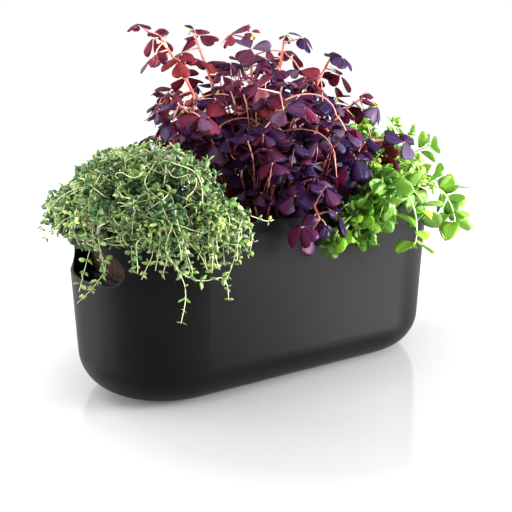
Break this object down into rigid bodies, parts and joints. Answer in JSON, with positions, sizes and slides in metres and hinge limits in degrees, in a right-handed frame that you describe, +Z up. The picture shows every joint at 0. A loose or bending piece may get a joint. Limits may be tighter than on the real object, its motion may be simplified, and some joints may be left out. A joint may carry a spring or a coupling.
{
  "type": "indoor herb planter",
  "caption": "Long round-ended black planter with a hand hole in each end and a lift-out insert on legs over a water reservoir, planted with thyme, purple oxalis and oregano.",
  "frame": {"origin": "centre of the flat underside of the pot", "axes": "+X along the pot's long side, +Z up"},
  "size_m": [0.3892, 0.2681, 0.3028],
  "materials": {
    "pot_plastic": "matte",
    "tray_plastic": "matte",
    "grommet_rubber": "matte",
    "wick_felt": "matte",
    "potting_mix": "matte",
    "thyme_foliage": "satin",
    "oxalis_foliage": "satin",
    "oregano_foliage": "satin"
  },
  "bodies": {
    "pot": {"outer_pot": "pot_plastic"},
    "insert": {"insert_tray": "tray_plastic", "oregano_root_ball": "potting_mix", "oregano_shoot_01": "oregano_foliage", "oregano_shoot_02": "oregano_foliage", "oregano_shoot_03": "oregano_foliage", "oregano_shoot_04": "oregano_foliage", "oregano_shoot_05": "oregano_foliage", "oregano_shoot_06": "oregano_foliage", "oregano_shoot_07": "oregano_foliage", "oregano_shoot_08": "oregano_foliage", "oregano_shoot_09": "oregano_foliage", "oregano_shoot_10": "oregano_foliage", "oregano_shoot_11": "oregano_foliage", "oregano_shoot_12": "oregano_foliage", "oregano_shoot_13": "oregano_foliage", "oregano_shoot_14": "oregano_foliage", "oregano_shoot_15": "oregano_foliage", "oregano_wick": "wick_felt", "oregano_wick_grommet": "grommet_rubber", "oxalis_wick": "wick_felt", "oxalis_wick_grommet": "grommet_rubber", "thyme_root_ball": "potting_mix", "thyme_shoot_01": "thyme_foliage", "thyme_shoot_02": "thyme_foliage", "thyme_shoot_03": "thyme_foliage", "thyme_shoot_04": "thyme_foliage", "thyme_shoot_05": "thyme_foliage", "thyme_shoot_06": "thyme_foliage", "thyme_shoot_07": "thyme_foliage", "thyme_shoot_08": "thyme_foliage", "thyme_shoot_09": "thyme_foliage", "thyme_shoot_10": "thyme_foliage", "thyme_shoot_11": "thyme_foliage", "thyme_shoot_12": "thyme_foliage", "thyme_shoot_13": "thyme_foliage", "thyme_shoot_14": "thyme_foliage", "thyme_shoot_15": "thyme_foliage", "thyme_shoot_16": "thyme_foliage", "thyme_shoot_17": "thyme_foliage", "thyme_shoot_18": "thyme_foliage", "thyme_shoot_19": "thyme_foliage", "thyme_wick": "wick_felt", "thyme_wick_grommet": "grommet_rubber"},
    "oxalis": {"oxalis_root_ball": "potting_mix", "oxalis_shoot_01": "oxalis_foliage", "oxalis_shoot_02": "oxalis_foliage", "oxalis_shoot_03": "oxalis_foliage", "oxalis_shoot_04": "oxalis_foliage", "oxalis_shoot_05": "oxalis_foliage", "oxalis_shoot_06": "oxalis_foliage", "oxalis_shoot_07": "oxalis_foliage", "oxalis_shoot_08": "oxalis_foliage", "oxalis_shoot_09": "oxalis_foliage", "oxalis_shoot_10": "oxalis_foliage", "oxalis_shoot_11": "oxalis_foliage", "oxalis_shoot_12": "oxalis_foliage", "oxalis_shoot_13": "oxalis_foliage", "oxalis_shoot_14": "oxalis_foliage"}
  },
  "joints": [
    {"name": "insert_lift", "type": "slide", "parent": "pot", "child": "insert", "axis": [0, 0, 1], "range_m": [0, 0.16]},
    {"name": "oxalis_lift", "type": "slide", "parent": "insert", "child": "oxalis", "axis": [0, 0, 1], "range_m": [0, 0.115]}
  ]
}
